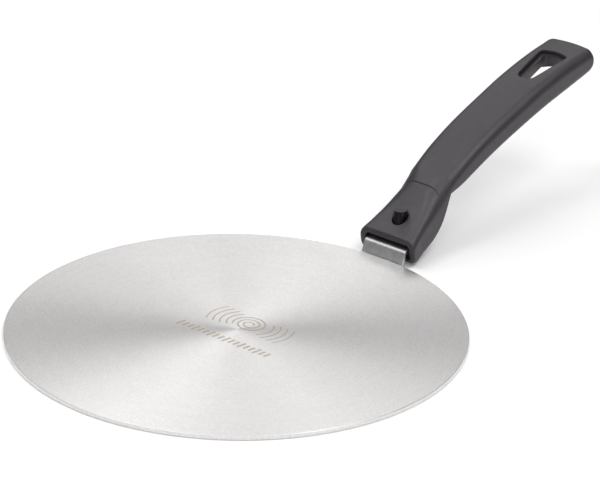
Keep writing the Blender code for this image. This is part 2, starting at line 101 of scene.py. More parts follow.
# ------------------------------------------------------------ node helpers
class Nodes:
    """Short way to write a node tree."""

    def __init__(self, name):
        self.mat = bpy.data.materials.new(name)
        self.mat.use_nodes = True
        self.tree = self.mat.node_tree
        self.bsdf = self.tree.nodes["Principled BSDF"]
        self.col = 0

    def new(self, kind, **props):
        n = self.tree.nodes.new(kind)
        n.location = (-300 - 30 * self.col, 200 - 40 * self.col)
        self.col += 1
        for k, v in props.items():
            setattr(n, k, v)
        return n

    def put(self, socket, value):
        if isinstance(value, bpy.types.NodeSocket):
            self.tree.links.new(value, socket)
        else:
            socket.default_value = value

    def math(self, op, a, b=0.0, c=None, clamp=False):
        n = self.new("ShaderNodeMath", operation=op, use_clamp=clamp)
        self.put(n.inputs[0], a)
        self.put(n.inputs[1], b)
        if c is not None:
            self.put(n.inputs[2], c)
        return n.outputs[0]

    def vec(self, x, y, z):
        n = self.new("ShaderNodeCombineXYZ")
        for s, v in zip(n.inputs, (x, y, z)):
            self.put(s, v)
        return n.outputs[0]

    def split(self, v):
        n = self.new("ShaderNodeSeparateXYZ")
        self.put(n.inputs[0], v)
        return n.outputs

    def vmath(self, op, a, b=None):
        n = self.new("ShaderNodeVectorMath", operation=op)
        self.put(n.inputs[0], a)
        if b is not None:
            self.put(n.inputs[1], b)
        return n.outputs[0] if op not in ("LENGTH", "DOT_PRODUCT", "DISTANCE") else n.outputs[1]

    def coord(self):
        return self.new("ShaderNodeTexCoord").outputs["Object"]

    def noise(self, vector, scale, detail=2.0, rough=0.5):
        n = self.new("ShaderNodeTexNoise")
        self.put(n.inputs["Vector"], vector)
        n.inputs["Scale"].default_value = scale
        n.inputs["Detail"].default_value = detail
        n.inputs["Roughness"].default_value = rough
        return n.outputs["Fac"]

    def cells(self, vector, scale, feature="F1"):
        n = self.new("ShaderNodeTexVoronoi", feature=feature)
        self.put(n.inputs["Vector"], vector)
        n.inputs["Scale"].default_value = scale
        return n.outputs["Distance"]

    def ramp(self, fac, lo, hi, v0=0.0, v1=1.0, smooth=False):
        n = self.new("ShaderNodeMapRange")
        n.interpolation_type = "SMOOTHSTEP" if smooth else "LINEAR"
        self.put(n.inputs["Value"], fac)
        for key, v in (("From Min", lo), ("From Max", hi), ("To Min", v0), ("To Max", v1)):
            self.put(n.inputs[key], v)
        return n.outputs["Result"]

    def mix(self, fac, a, b):
        n = self.new("ShaderNodeMix", data_type="RGBA")
        self.put(n.inputs[0], fac)
        self.put(n.inputs[6], (*a, 1.0) if isinstance(a, tuple) else a)
        self.put(n.inputs[7], (*b, 1.0) if isinstance(b, tuple) else b)
        return n.outputs[2]

    def bump(self, height, strength, distance, normal=None):
        n = self.new("ShaderNodeBump")
        n.inputs["Strength"].default_value = strength
        n.inputs["Distance"].default_value = distance
        self.put(n.inputs["Height"], height)
        if normal is not None:
            self.put(n.inputs["Normal"], normal)
        return n.outputs["Normal"]

    def set(self, **values):
        for key, v in values.items():
            self.put(self.bsdf.inputs[key.replace("_", " ")], v)
        return self


def total(m, *pairs):
    """Sum of (value, weight) pairs."""
    out = None
    for value, weight in pairs:
        term = m.math("MULTIPLY", value, weight)
        out = term if out is None else m.math("ADD", out, term)
    return out


# ------------------------------------------------------------ materials
def disc_material():
    """Turned and ground sheet steel: concentric scratches, satin, slightly warm."""
    m = Nodes("disc_steel_look")
    x, y, z = m.split(m.coord())
    r = m.math("SQRT", m.math("ADD", m.math("MULTIPLY", x, x), m.math("MULTIPLY", y, y)))
    safe = m.math("MAXIMUM", r, 0.0005)
    cx, cy = m.math("DIVIDE", x, safe), m.math("DIVIDE", y, safe)

    def streak(pitch, turn, detail=1.5):
        # a noise long round the disc and narrow across the radius
        v = m.vec(m.math("DIVIDE", r, pitch), m.math("MULTIPLY", cx, turn), m.math("MULTIPLY", cy, turn))
        return m.noise(v, 1.0, detail, 0.6)

    fine = streak(0.00022, 26.0)
    mid = streak(0.00055, 60.0)
    wide = streak(0.0032, 5.0)
    grain = m.noise(m.vec(x, y, z), 1150.0, 2.0, 0.6)
    cloud = m.noise(m.vec(x, y, z), 38.0, 3.0, 0.6)
    value = total(m, (m.ramp(fine, 0.3, 0.7), 0.20), (m.ramp(mid, 0.3, 0.7), 0.26),
                  (m.ramp(wide, 0.3, 0.7), 0.12), (m.ramp(grain, 0.36, 0.64), 0.42))
    tone = m.mix(value, (0.740, 0.727, 0.722), (0.945, 0.937, 0.932))
    tone = m.mix(m.ramp(cloud, 0.42, 0.75, 0.0, 0.30), tone, (0.86, 0.84, 0.815))
    rough = m.math("ADD", 0.335, total(m, (value, 0.10), (m.ramp(cloud, 0.3, 0.7), 0.03)))
    height = total(m, (fine, 0.55), (mid, 0.35), (grain, 0.30))
    m.set(Base_Color=tone, Roughness=rough, Metallic=1.0, Anisotropic=0.72, Anisotropic_Rotation=0.25,
          Normal=m.bump(height, 0.25, 0.00006))
    t = m.new("ShaderNodeTangent", direction_type="RADIAL", axis="Z")
    m.put(m.bsdf.inputs["Tangent"], t.outputs[0])
    return m.mat


def strip_material():
    """Cold rolled strip, brushed along its length."""
    m = Nodes("strip_steel_look")
    x, y, z = m.split(m.coord())
    line = m.noise(m.vec(m.math("DIVIDE", x, 0.00016), m.math("DIVIDE", y, 0.006),
                         m.math("DIVIDE", z, 0.006)), 1.0, 2.0, 0.6)
    blot = m.noise(m.vec(x, y, z), 260.0, 3.0, 0.6)
    grain = m.noise(m.vec(x, y, z), 2600.0, 2.0, 0.5)
    value = total(m, (m.ramp(line, 0.3, 0.7), 0.5), (m.ramp(blot, 0.35, 0.7), 0.3), (grain, 0.3))
    tone = m.mix(value, (0.47, 0.47, 0.485), (0.72, 0.72, 0.73))
    m.set(Base_Color=tone, Roughness=m.math("ADD", 0.37, m.math("MULTIPLY", value, 0.13)), Metallic=1.0,
          Normal=m.bump(m.math("ADD", m.math("MULTIPLY", line, 0.7), m.math("MULTIPLY", grain, 0.3)),
                        0.22, 0.00006))
    return m.mat


def weld_material():
    """Weld bead: rippled, with straw and blue heat tints."""
    m = Nodes("weld_steel_look")
    v = m.coord()
    x, y, z = m.split(v)
    ripple = m.math("SINE", m.math("DIVIDE", x, 0.00012))
    heat = m.noise(v, 900.0, 3.0, 0.6)
    pit = m.noise(v, 4200.0, 2.0, 0.6)
    tone = m.mix(m.ramp(heat, 0.35, 0.65), (0.46, 0.43, 0.38), (0.33, 0.34, 0.39))
    tone = m.mix(m.ramp(pit, 0.55, 0.8, 0.0, 0.6), tone, (0.20, 0.19, 0.18))
    m.set(Base_Color=tone, Roughness=m.ramp(heat, 0.3, 0.7, 0.34, 0.52), Metallic=1.0,
          Normal=m.bump(m.math("ADD", m.math("MULTIPLY", ripple, 0.2), pit), 0.5, 0.00008))
    return m.mat


def plastic_material(name, low, high, rough, grain_depth=0.00005, level=0.45):
    """Moulded nylon with a spark-eroded grain, faintly mottled and rubbed."""
    m = Nodes(name)
    v = m.coord()
    grain = m.noise(v, 2300.0, 3.0, 0.55)
    pits = m.cells(v, 1700.0)
    mottle = m.noise(v, 95.0, 4.0, 0.62)
    flow = m.noise(v, 22.0, 2.0, 0.5)
    rub = m.noise(v, 420.0, 3.0, 0.6)
    value = total(m, (m.ramp(mottle, 0.3, 0.7), 0.45), (m.ramp(flow, 0.35, 0.65), 0.25),
                  (m.ramp(grain, 0.3, 0.7), 0.30))
    tone = m.mix(value, low, high)
    rough_v = m.math("ADD", rough, total(m, (m.ramp(rub, 0.3, 0.7), 0.07), (m.ramp(flow, 0.35, 0.65), 0.04)))
    height = total(m, (grain, 0.7), (pits, 0.35))
    m.set(Base_Color=tone, Roughness=rough_v, Metallic=0.0, Specular_IOR_Level=level,
          Normal=m.bump(height, 0.45, grain_depth))
    return m.mat


def button_material():
    """Smooth moulded button: finely frosted flat top, glossy side; the top's lighter grey base colour is painted
    sheen.
    """
    m = Nodes("button_black_look")
    v = m.coord()
    x, y, z = m.split(v)
    top = m.ramp(z, (BUTTON_TOP - 0.35) * MM, (BUTTON_TOP - 0.05) * MM)
    dx, dy = x, m.math("SUBTRACT", y, BUTTON_Y * MM)
    r = m.math("SQRT", m.math("ADD", m.math("MULTIPLY", dx, dx), m.math("MULTIPLY", dy, dy)))
    turn = m.noise(m.vec(m.math("DIVIDE", r, 0.00012), 0.0, 0.0), 1.0, 2.0, 0.6)
    frost = m.noise(v, 5200.0, 2.0, 0.55)
    scuff = m.noise(v, 700.0, 3.0, 0.6)
    # painted sheen: the flat top gets a far lighter base colour than the side, standing in for the light its frosted
    # face catches
    tone = m.mix(top, (0.0035, 0.0032, 0.0040), (0.066, 0.064, 0.070))
    tone = m.mix(m.math("MULTIPLY", m.ramp(scuff, 0.5, 0.75, 0.0, 0.35), top), tone, (0.035, 0.034, 0.037))
    rough = m.math("ADD", m.ramp(top, 0.0, 1.0, 0.17, 0.46), m.math("MULTIPLY", scuff, 0.06))
    height = m.math("ADD", m.math("MULTIPLY", frost, 0.6), m.math("MULTIPLY", turn, 0.3))
    m.set(Base_Color=tone, Roughness=rough, Metallic=0.0, Specular_IOR_Level=0.26,
          Normal=m.bump(m.math("MULTIPLY", height, top), 0.3, 0.00004))
    return m.mat


def spring_material():
    m = Nodes("spring_steel_look")
    v = m.coord()
    x, y, z = m.split(v)
    line = m.noise(m.vec(m.math("DIVIDE", x, 0.00009), m.math("DIVIDE", y, 0.004), z), 1.0, 2.0, 0.6)
    blue = m.noise(v, 480.0, 2.0, 0.5)
    tone = m.mix(m.ramp(line, 0.3, 0.7), (0.44, 0.46, 0.50), (0.68, 0.69, 0.71))
    tone = m.mix(m.ramp(blue, 0.5, 0.7, 0.0, 0.5), tone, (0.42, 0.45, 0.56))
    m.set(Base_Color=tone, Roughness=m.ramp(line, 0.3, 0.7, 0.22, 0.34), Metallic=1.0,
          Normal=m.bump(line, 0.2, 0.00004))
    return m.mat


def screw_material():
    m = Nodes("screw_zinc_look")
    v = m.coord()
    flake = m.cells(v, 1900.0)
    cloud = m.noise(v, 800.0, 3.0, 0.6)
    tone = m.mix(m.ramp(cloud, 0.35, 0.65), (0.55, 0.56, 0.55), (0.74, 0.72, 0.64))
    m.set(Base_Color=tone, Roughness=m.ramp(flake, 0.0, 0.8, 0.22, 0.42), Metallic=1.0,
          Normal=m.bump(m.math("ADD", flake, cloud), 0.25, 0.00005))
    return m.mat


def mark_material():
    """Faint straw tint that a laser leaves on steel, with small breaks."""
    m = Nodes("mark_tint_look")
    v = m.coord()
    x, y, z = m.split(v)
    wear = m.noise(v, 900.0, 3.0, 0.65)
    speck = m.noise(v, 3800.0, 2.0, 0.6)
    tone = m.mix(m.ramp(wear, 0.3, 0.7), (0.50, 0.42, 0.345), (0.65, 0.575, 0.50))
    tone = m.mix(m.ramp(speck, 0.48, 0.72, 0.0, 0.45), tone, (0.74, 0.69, 0.63))
    m.set(Base_Color=tone, Roughness=m.ramp(wear, 0.3, 0.7, 0.42, 0.55), Metallic=1.0,
          Normal=m.bump(speck, 0.3, 0.00003))
    return m.mat


# ------------------------------------------------------------ shape helpers
def line_through(points, y):
    """Smooth, non-overshooting line through (Y, value) points."""
    n = len(points)
    if y <= points[0][0]:
        return points[0][1]
    if y >= points[-1][0]:
        return points[-1][1]
    slope = [(points[i + 1][1] - points[i][1]) / (points[i + 1][0] - points[i][0]) for i in range(n - 1)]
    tangent = [slope[0]]
    for i in range(1, n - 1):
        a, b = slope[i - 1], slope[i]
        tangent.append(0.0 if a * b <= 0 else 2 * a * b / (a + b))
    tangent.append(slope[-1])
    for i in range(n - 1):
        y0, v0 = points[i]
        y1, v1 = points[i + 1]
        if y0 <= y <= y1:
            h = y1 - y0
            t = (y - y0) / h
            return ((2 * t ** 3 - 3 * t ** 2 + 1) * v0 + (t ** 3 - 2 * t ** 2 + t) * h * tangent[i]
                    + (3 * t ** 2 - 2 * t ** 3) * v1 + (t ** 3 - t ** 2) * h * tangent[i + 1])
    return points[-1][1]


def top_line(y):
    return line_through(TOP_NOSE if y < CREASE_Y else TOP_GRIP, y)


def bottom_line(y):
    return line_through(BOTTOM_NOSE if y < NOTCH_Y else BOTTOM_GRIP, y)


def make_mesh(bm, name, mat=None, angle=32.0, smooth=True):
    bmesh.ops.recalc_face_normals(bm, faces=bm.faces[:])
    mesh = bpy.data.meshes.new(name)
    bm.to_mesh(mesh)
    bm.free()
    if smooth:
        mesh.shade_smooth()
        mesh.set_sharp_from_angle(angle=math.radians(angle))
    ob = bpy.data.objects.new(name, mesh)
    if mat:
        mesh.materials.append(mat)
    WORK.objects.link(ob)
    return ob


def box(name, lo, hi):
    bm = bmesh.new()
    bmesh.ops.create_cube(bm, size=1.0)
    for v in bm.verts:
        v.co = Vector([((lo[i] + hi[i]) / 2 + v.co[i] * (hi[i] - lo[i])) * MM for i in range(3)])
    return make_mesh(bm, name, smooth=False)


def turned(name, base, axis, parts, mat=None, segments=96, angle=32.0):
    """Round piece: parts is a list of (distance along the axis, radius)."""
    axis = Vector(axis).normalized()
    turn = Vector((0, 0, 1)).rotation_difference(axis).to_matrix().to_4x4()
    place = Matrix.Translation(Vector(base) * MM) @ turn
    bm = bmesh.new()
    rings = []
    for dist, rad in parts:
        rings.append([bm.verts.new(place @ Vector((rad * MM * math.cos(2 * math.pi * k / segments),
                                                   rad * MM * math.sin(2 * math.pi * k / segments),
                                                   dist * MM))) for k in range(segments)])
    for a, b in zip(rings, rings[1:]):
        for k in range(segments):
            bm.faces.new((a[k], a[(k + 1) % segments], b[(k + 1) % segments], b[k]))
    bm.faces.new(rings[0][::-1])
    bm.faces.new(rings[-1])
    return make_mesh(bm, name, mat, angle)


def lofted(name, rings, mat=None, angle=32.0):
    bm = bmesh.new()
    rows = [[bm.verts.new(Vector(p) * MM) for p in ring] for ring in rings]
    n = len(rows[0])
    for a, b in zip(rows, rows[1:]):
        for k in range(n):
            bm.faces.new((a[k], a[(k + 1) % n], b[(k + 1) % n], b[k]))
    bm.faces.new(rows[0][::-1])
    bm.faces.new(rows[-1])
    return make_mesh(bm, name, mat, angle)


def cut(ob, cutter, op="DIFFERENCE"):
    mod = ob.modifiers.new("cut", "BOOLEAN")
    mod.operation = op
    mod.object = cutter
    mod.solver = "EXACT"
    cutter["used_as_cutter"] = True


def settle(ob):
    """Applies the modifiers and removes the cutters they used."""
    bpy.context.view_layer.update()
    dg = bpy.context.evaluated_depsgraph_get()
    mesh = bpy.data.meshes.new_from_object(ob.evaluated_get(dg), depsgraph=dg)
    mats = list(ob.data.materials)
    ob.modifiers.clear()
    ob.data = mesh
    mesh.materials.clear()
    for mat in mats:
        mesh.materials.append(mat)
    for other in list(WORK.objects):
        if other.get("used_as_cutter"):
            bpy.data.objects.remove(other, do_unlink=True)
    return ob


def outline(y0, y1, h0, h1, r0, r1, bulge, steps=8):
    """Rounded tapering outline in plan: near end y0, far end y1."""
    slope = math.atan2(h1 - h0, y1 - y0)
    pts = []
    for k in range(steps + 1):
        a = math.radians(90.0) * k / steps - slope * (1 - k / steps)
        pts.append((h1 - r1 + r1 * math.cos(a), y1 - bulge - r1 + r1 * math.sin(a)))
    for k in range(1, 8):
        t = k / 8
        x = (h1 - r1) * (1 - 2 * t)
        pts.append((x, y1 - bulge + bulge * (1 - (x / (h1 - r1)) ** 2)))
    for k in range(steps + 1):
        a = math.radians(90.0) + math.radians(90.0) * k / steps + slope * k / steps
        pts.append((-h1 + r1 + r1 * math.cos(a), y1 - bulge - r1 + r1 * math.sin(a)))
    for k in range(steps + 1):
        a = math.radians(180.0) + math.radians(90.0) * k / steps + slope * (1 - k / steps)
        pts.append((-h0 + r0 + r0 * math.cos(a), y0 + r0 + r0 * math.sin(a)))
    for k in range(steps + 1):
        a = math.radians(270.0) + math.radians(90.0) * k / steps - slope * k / steps
        pts.append((h0 - r0 + r0 * math.cos(a), y0 + r0 + r0 * math.sin(a)))
    return pts


# ------------------------------------------------------------ handle
STEPS, FLAT, SIDE = 9, 11, 3


def section(y, inset=0.0, side=None):
    side = inset if side is None else side
    half = line_through(WIDTH, y) / 2 - side
    top = top_line(y) - inset
    low = bottom_line(y) + inset
    rb = max(min(line_through(ROUND_BOTTOM, y) - side * 0.6, (top - low) / 2 - 0.15), 0.3)
    rt = max(min(line_through(ROUND_TOP, y) - side * 0.6, top - low - rb - 0.3), 0.3)
    pts = []
    for cx, cz, r, start in ((half - rt, top - rt, rt, 0), (-half + rt, top - rt, rt, 90),
                             (-half + rb, low + rb, rb, 180), (half - rb, low + rb, rb, 270)):
        for k in range(STEPS + 1):
            a = math.radians(start + 90 * k / STEPS)
            pts.append([cx + r * math.cos(a), cz + r * math.sin(a)])
        nxt = {0: (-half + rt, top), 90: (-half, low + rb), 180: (half - rb, low),
               270: (half, top - rt)}[start]
        last = pts[-1]
        mid = FLAT if start in (0, 180) else SIDE
        for k in range(1, mid + 1):
            t = k / (mid + 1)
            pts.append([last[0] + (nxt[0] - last[0]) * t, last[1] + (nxt[1] - last[1]) * t])
    ring = []
    for x, z in pts:
        u = x / half
        rise = CROWN * (1 - u * u) * max(0.0, (z - low) / (top - low) - 0.5) * 2
        ramp = max(0.0, min(1.0, (y - (END_Y - 14.0)) / 14.0))
        yy = y - END_BULGE * ramp * ramp * min(1.2, (x / 12.0) ** 2)
        yy += front_shift(y, z)
        ring.append((x, yy, z + rise - 0.5 * CROWN))
    return ring


def front_shift(y, z):
    near = max(0.0, 1.0 - (y - NOSE_Y) / 7.0)
    drop = max(0.0, (13.5 - z) / 12.0)
    return FRONT_RAKE * near * drop * drop


def stations():
    ys = [(NOSE_Y + 0.8 * (1 - math.cos(math.radians(a))), 0.8 * (1 - math.sin(math.radians(a))))
          for a in (0, 15, 30, 45, 60, 75, 90)]
    y = NOSE_Y + 1.6
    while y < 138.6:
        ys.append((y, 0.0))
        y += 1.15
    ys += [(v, 0.0) for v in (139.0, 139.5, 139.8, 139.98, 140.22, 140.4, 140.7, 141.2, 142.0, 143.0,
                              144.0, 145.0, 146.0, 146.8, 147.3, 147.5, 147.8, 148.4, 149.2, 150.1)]
    y = 151.2
    while y < 252.0:
        ys.append((y, 0.0))
        y += 1.5
    ys += [(252.6, 0.0), (254.2, 0.0), (256.0, 0.0), (257.8, 0.0)]
    for k in range(15):
        a = math.radians(87 * k / 14)
        left = END_ROUND * (1 - math.sin(a))
        s = 0.0
        if left < END_CORNER:
            s = END_CORNER - math.sqrt(END_CORNER ** 2 - (END_CORNER - left) ** 2)
        ys.append((END_Y - left, END_ROUND * (1 - math.cos(a)), s))
    return ys


def handle_skin(name, mat=None):
    rings = [section(*s) for s in stations()]
    bm = bmesh.new()
    rows = [[bm.verts.new(Vector(p) * MM) for p in ring] for ring in rings]
    n = len(rows[0])
    for a, b in zip(rows, rows[1:]):
        for k in range(n):
            bm.faces.new((a[k], a[(k + 1) % n], b[(k + 1) % n], b[k]))
    # both ends: columns of small faces from the top half to the bottom half
    last_top = 2 * (STEPS + 1) + FLAT - 1
    first_low = last_top + 1 + SIDE
    for which, row in ((0, rows[0]), (1, rows[-1])):
        cols = {}
        deep = 8 if which == 0 else 2
        for k in range(1, last_top):
            p, q = row[k].co, row[first_low + last_top - k].co
            col = [row[k]]
            for j in range(1, deep):
                t = j / deep
                c = p.lerp(q, t)
                if which == 0:
                    z0, z1, zc = p.z / MM, q.z / MM, c.z / MM
                    base = (p.y / MM - front_shift(NOSE_Y, z0)) * (1 - t) + \
                        (q.y / MM - front_shift(NOSE_Y, z1)) * t
                    c.y = (base + front_shift(NOSE_Y, zc)) * MM
                col.append(bm.verts.new(c))
            col.append(row[first_low + last_top - k])
            cols[k] = col
        for k in range(1, last_top - 1):
            for j in range(deep):
                bm.faces.new((cols[k][j], cols[k + 1][j], cols[k + 1][j + 1], cols[k][j + 1]))
        left = [row[i] for i in range(last_top - 1, first_low + 2)]
        bm.faces.new(left + cols[last_top - 1][1:-1][::-1])
        right = [row[i] for i in range(first_low + last_top - 1, n)] + [row[0], row[1]]
        bm.faces.new(right + cols[1][1:-1])
    return make_mesh(bm, name, mat, 34.0)


def top_z(x, y):
    half = line_through(WIDTH, y) / 2
    u = x / half
    return top_line(y) + CROWN * (1 - u * u) - 0.5 * CROWN


def top_normal(y):
    dz = (top_line(y + 1) - top_line(y - 1)) / 2
    return Vector((0, -dz, 1)).normalized()


def grown(points, g):
    """Outline moved outwards by g, point by point."""
    n = len(points)
    out = []
    for k in range(n):
        a, b = Vector(points[k - 1]), Vector(points[(k + 1) % n])
        t = (b - a).normalized()
        out.append((points[k][0] + t.y * g, points[k][1] - t.x * g))
    return out


def surface_cutter(name, pts, depth, fillet, above=5.0):
    """Cutter whose walls follow the top face, with a rounded lip."""
    rings = []

    def ring(points, d):
        return [tuple(Vector((x, y, top_z(x, y))) - top_normal(235.0) * d) for x, y in points]
    for t in (1.0, 0.5):
        rings.append(ring(pts, fillet + (depth - fillet) * t))
    for k in range(6):
        a = math.radians(90 * k / 5)
        rings.append(ring(grown(pts, fillet * (1 - math.cos(a))), fillet * (1 - math.sin(a))))
    rings.append(ring(grown(pts, fillet * 1.02), -above))
    return lofted(name, rings)


def cover_plane(y):
    return COVER_Z0 + COVER_SLOPE * (y - 117.0)


def cover_axis():
    up = Vector((0, 1, COVER_SLOPE)).normalized()
    return Vector((0, -up.z, up.y))


def cover_block(name, grow, lift, low):
    y0, y1 = COVER_Y[0] - grow, COVER_Y[1] + grow
    h = COVER_HALF + grow
    out = outline(y0, y1, h, h, 2.0 + grow, 2.0 + grow, 0.0, 8)
    return lofted(name, [[(x, y, low) for x, y in out], [(x, y, cover_plane(y) + lift) for x, y in out]])


def build_handle(mat):
    ob = handle_skin("handle_shell", mat)
    # mouth with a rounded lip that follows the raked front face
    base = outline(0, 7.6, 13.9, 13.9, 1.6, 2.6, 0.0, 8)
    rings = []

    def ring(points, d):
        return [(x, NOSE_Y + front_shift(NOSE_Y, 3.45 + z) + d, 3.45 + z) for x, z in points]
    rings.append(ring(grown(base, 0.52), -5.0))
    for k in range(6):
        a = math.radians(90 * k / 5)
        rings.append(ring(grown(base, 0.5 * (1 - math.sin(a))), 0.5 * (1 - math.cos(a))))
    rings.append([(x, 116.4, 3.45 + z) for x, z in base])
    cut(ob, lofted("c_mouth", rings))
    cut(ob, box("c_slot", (-TANG_W / 2 - GAP, 110, TANG_Z - TANG_T / 2 - GAP),
                (TANG_W / 2 + GAP, TANG_TIP + 0.4, TANG_Z + TANG_T / 2 + GAP)))
    cut(ob, box("c_pocket", (-8.2, 118.0, 0.0), (8.2, 128.9, 13.0)))
    cut(ob, box("c_leaf", (-4.5, 128.0, 0.0), (4.5, 134.0, LEAF_Z + LEAF_T / 2 + GAP)))
    cut(ob, cover_block("c_cover", GAP, GAP, -6.0))
    # button bore, its lip following the sloping nose
    bore = BUTTON_R + 0.25
    rings = []
    for rad, d in [(bore, None), (bore, 0.45)] + \
            [(bore + 0.45 * (1 - math.cos(math.radians(a))), 0.45 * (1 - math.sin(math.radians(a))))
             for a in (20, 40, 60, 80, 90)] + [(bore + 0.47, -6.0)]:
        pts = []
        for k in range(72):
            a = 2 * math.pi * k / 72
            x, y = rad * math.cos(a), BUTTON_Y + rad * math.sin(a)
            pts.append((x, y, 12.0 if d is None else top_z(x, y) - d))
        rings.append(pts)
    cut(ob, lofted("c_bore", rings))
    cut(ob, turned("c_ls", (0, LEAF_SCREW_Y, 9.0), (0, 0, 1), [(0, 1.65), (9.2, 1.65)], segments=32))
    n = cover_axis()
    for sx in (-1, 1):
        b = Vector((sx * COVER_SCREW[0], COVER_SCREW[1], cover_plane(COVER_SCREW[1])))
        cut(ob, turned("c_cs%d" % sx, b - n * 1.0, n, [(0, 1.65), (9.0, 1.65)], segments=32))
    y0, y1 = HOLE_Y
    h0, h1 = HOLE_HALF
    s = HOLE_STEP
    upper = outline(y0, y1, h0, h1, 4.1, 2.2, 1.0, 10)
    lower = outline(y0 + s, y1 - s * 0.5, h0 - s, h1 - s, 2.3, 1.5, 0.7, 10)
    cut(ob, surface_cutter("c_recess", upper, HOLE_RECESS, 0.45))

    def deep(points, d):
        return [tuple(Vector((x, y, top_z(x, y))) - top_normal(235.0) * d) for x, y in points]
    f = 0.3
    rings = [deep(lower, 26.0), deep(lower, HOLE_RECESS + f)]
    for a in (25, 50, 75, 90):
        rings.append(deep(grown(lower, f * (1 - math.cos(math.radians(a)))),
                          HOLE_RECESS + f * (1 - math.sin(math.radians(a)))))
    rings.append(deep(grown(lower, f * 1.02), HOLE_RECESS - 1.0))
    cut(ob, lofted("c_hole", rings))
    rings = []
    for k in range(61):
        y = CORE_Y[0] + (CORE_Y[1] - CORE_Y[0]) * k / 60
        dz = (top_line(y + 1) - top_line(y - 1)) / 2
        end = min(y - CORE_Y[0], CORE_Y[1] - y)
        half = line_through(WIDTH, y) / 2 - WALL - max(0.0, 6.0 - end) ** 2 / 36.0 * 5.0
        roof = top_line(y) - WEB * math.sqrt(1 + dz * dz) - max(0.0, 4.0 - end) ** 2 / 16.0 * 2.5
        low = bottom_line(y) - 6.0
        arc = [(half - 2.0 + 2.0 * math.sin(math.radians(a)), y, roof - 2.0 + 2.0 * math.cos(math.radians(a)))
               for a in (90, 68, 45, 22, 0)]
        rings.append(arc + [(-x, yy, z) for x, yy, z in arc[::-1]]
                     + [(-half - 0.5, y, low), (half + 0.5, y, low)])
    cut(ob, lofted("c_core", rings))
    settle(ob)
    ob.data.set_sharp_from_angle(angle=math.radians(34))
    wn = ob.modifiers.new("even_shading", "WEIGHTED_NORMAL")
    wn.keep_sharp = True
    wn.weight = 60
    return ob


# ------------------------------------------------------------ other pieces
def bend_path(points, radii, steps=12):
    out = [points[0]]
    for i in range(1, len(points) - 1):
        p0, p, p1 = (Vector(points[i - 1]), Vector(points[i]), Vector(points[i + 1]))
        a = (p0 - p).normalized()
        b = (p1 - p).normalized()
        half = math.acos(max(-1, min(1, a.dot(b)))) / 2
        back = radii[i - 1] / math.tan(half)
        centre = p + (a + b).normalized() * (radii[i - 1] / math.sin(half))
        s, e = p + a * back, p + b * back
        for k in range(steps + 1):
            d = (s - centre).normalized().lerp((e - centre).normalized(), k / steps).normalized()
            q = centre + d * radii[i - 1]
            out.append((q.x, q.y))
    out.append(points[-1])
    return out


def bent_sheet(name, path, width, thick, mat, columns=6):
    """Closed bent sheet: the path is its middle line."""
    pts = [Vector(p) for p in path]
    nrm = []
    for i in range(len(pts)):
        t = Vector((0, 0))
        if i > 0:
            t += (pts[i] - pts[i - 1]).normalized()
        if i < len(pts) - 1:
            t += (pts[i + 1] - pts[i]).normalized()
        t.normalize()
        nrm.append(Vector((-t.y, t.x)))
    bm = bmesh.new()
    grid = {}
    for side in (0, 1):
        for i, (p, m) in enumerate(zip(pts, nrm)):
            q = p + m * (thick / 2 if side else -thick / 2)
            for j in range(columns + 1):
                x = -width / 2 + width * j / columns
                grid[side, i, j] = bm.verts.new((x * MM, q.x * MM, q.y * MM))
    last = len(pts) - 1
    for i in range(last):
        for j in range(columns):
            for side in (0, 1):
                bm.faces.new((grid[side, i, j], grid[side, i, j + 1], grid[side, i + 1, j + 1], grid[side, i + 1, j]))
        for j in (0, columns):
            bm.faces.new((grid[0, i, j], grid[0, i + 1, j], grid[1, i + 1, j], grid[1, i, j]))
    for j in range(columns):
        for i in (0, last):
            bm.faces.new((grid[0, i, j], grid[0, i, j + 1], grid[1, i, j + 1], grid[1, i, j]))
    return make_mesh(bm, name, mat, 30.0)


def soften(ob, width, segments=2, angle=40.0):
    bev = ob.modifiers.new("soft_edges", "BEVEL")
    bev.width = width * MM
    bev.segments = segments
    bev.limit_method = "ANGLE"
    bev.angle_limit = math.radians(angle)
    bev.harden_normals = True
    return ob


def build_strip(mat):
    fy, fz = RISER_FOOT
    t = math.tan(math.radians(RISER_DEG))
    path = bend_path([(fy - (fz + 1.5) / t, -1.5), (fy + (TANG_Z - fz) / t, TANG_Z), (TANG_TIP, TANG_Z)], [1.8])
    ob = bent_sheet("bent_strip", path, TANG_W, TANG_T, mat)
    cut(ob, turned("c_rim", (0, 0, -5), (0, 0, 1), [(0, DISC_R + GAP), (5 + DISC_T + GAP, DISC_R + GAP)],
                   segments=360))
    cut(ob, box("c_trim", (-20, 100, -6), (20, 116, RISER_CUT)))
    cut(ob, box("c_window", (-WINDOW_HALF, WINDOW_Y[0], TANG_Z - 3), (WINDOW_HALF, WINDOW_Y[1], TANG_Z + 3)))
    cut(ob, box("c_open", (-SLOT_HALF, WINDOW_Y[1] - 0.5, TANG_Z - 3), (SLOT_HALF, TANG_TIP + 2, TANG_Z + 3)))
    settle(ob)
    bm = bmesh.new()
    bm.from_mesh(ob.data)
    bmesh.ops.dissolve_limit(bm, angle_limit=math.radians(1.0), verts=bm.verts[:], edges=bm.edges[:])
    bm.to_mesh(ob.data)
    bm.free()
    return soften(ob, 0.16, 2)


